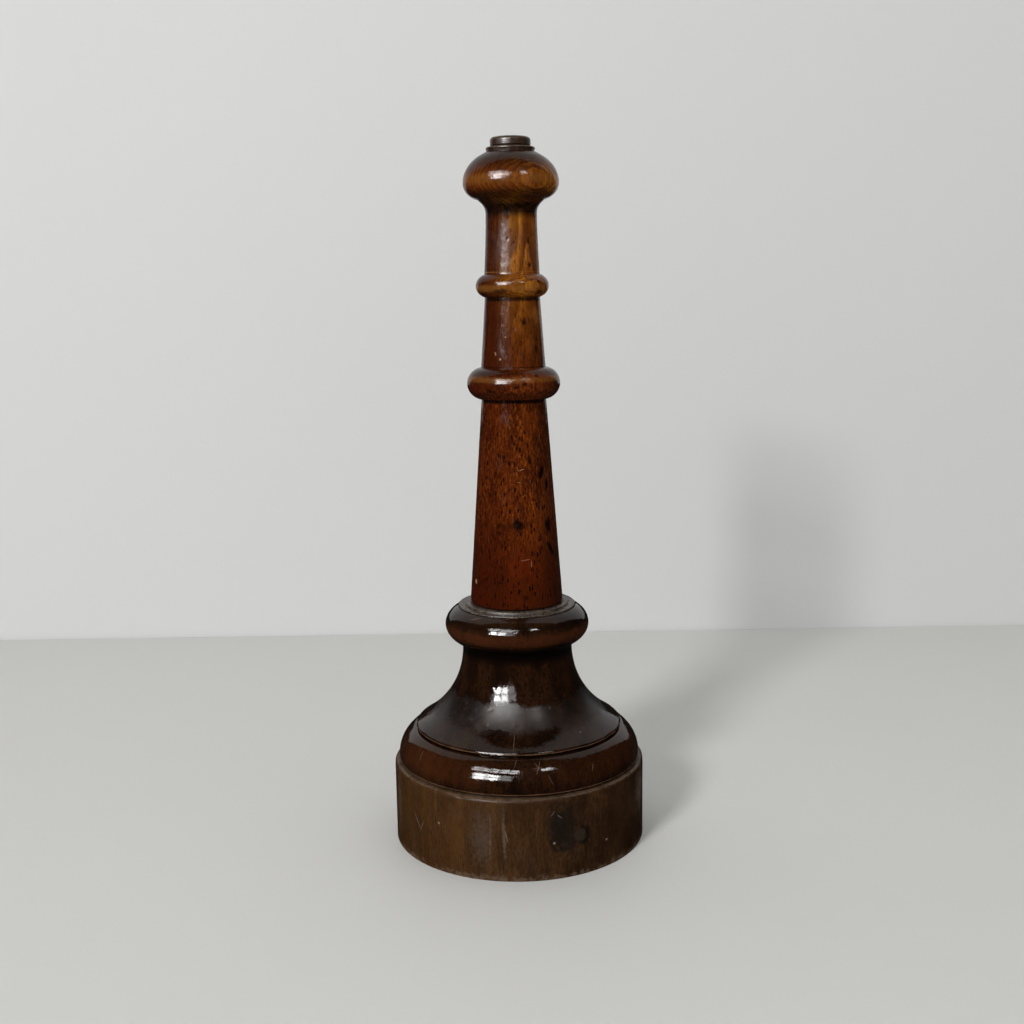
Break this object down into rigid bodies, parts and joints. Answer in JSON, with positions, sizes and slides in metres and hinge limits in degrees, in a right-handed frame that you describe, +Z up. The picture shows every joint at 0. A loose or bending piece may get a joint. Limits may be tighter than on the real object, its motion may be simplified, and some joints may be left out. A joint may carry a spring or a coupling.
{
  "type": "pepper mill",
  "caption": "Large turned-wood pepper mill: receiver cup, bell body with iron grinder, tall ringed column that turns as the crank, and a finial nut that sets the grind.",
  "frame": {"origin": "centre of the cup's foot, on the surface it stands on", "axes": "+Z up the axis that everything is turned on; +X and +Y are level, and nothing distinguishes them outside"},
  "size_m": [0.1464, 0.1464, 0.4],
  "materials": {
    "cup_wood": "oiled hardwood, semi-matte, worn",
    "dark_wood": "dark stained hardwood, high-gloss varnish",
    "column_wood": "red-brown hardwood, glossy varnish",
    "finial_wood": "dark stained hardwood, glossy varnish",
    "grinder_iron": "bare cast iron, oiled",
    "spindle_steel": "drawn bar, dull",
    "screw_steel": "turned steel, slightly tarnished",
    "brass": "turned brass, tarnished"
  },
  "bodies": {
    "cup": {"receiver_cup": "cup_wood"},
    "mill_body": {"bell_body": "dark_wood", "seat_collar": "dark_wood", "grinding_ring": "grinder_iron", "ring_screws": "screw_steel", "spindle_bridge": "grinder_iron", "bridge_rivets": "screw_steel"},
    "spring_seat": {"spring_washer": "brass", "spindle_spring": "screw_steel"},
    "spindle": {"spindle": "spindle_steel", "grinding_cone": "grinder_iron", "cone_washer": "screw_steel", "cone_pin": "screw_steel"},
    "head": {"column": "column_wood", "drive_plate": "grinder_iron", "drive_screws": "screw_steel", "finial_washer": "finial_wood", "washer_pins": "screw_steel"},
    "nut": {"finial_nut": "finial_wood", "nut_insert": "brass"}
  },
  "joints": [
    {"name": "body_lift", "type": "slide", "parent": "cup", "child": "mill_body", "axis": [0, 0, 1], "range_m": [0, 0.06]},
    {"name": "head_turn", "type": "hinge", "parent": "mill_body", "child": "spring_seat", "pos_m": [0, 0, 0.14], "axis": [0, 0, 1], "continuous": true},
    {"name": "grind_adjust", "type": "slide", "parent": "spring_seat", "child": "spindle", "axis": [0, 0, 1], "range_m": [-0.001, 0.001], "deforming": ["spindle_spring"]},
    {"name": "head_lift", "type": "slide", "parent": "spring_seat", "child": "head", "axis": [0, 0, 1], "range_m": [0, 0.3]},
    {"name": "nut_turn", "type": "hinge", "parent": "head", "child": "nut", "pos_m": [0, 0, 0.395], "axis": [0, 0, 1], "range_deg": [-360, 360]}
  ],
  "couplings": [
    {"joint": "nut_turn", "follows": "grind_adjust", "rad_per_m": -6283.2}
  ]
}
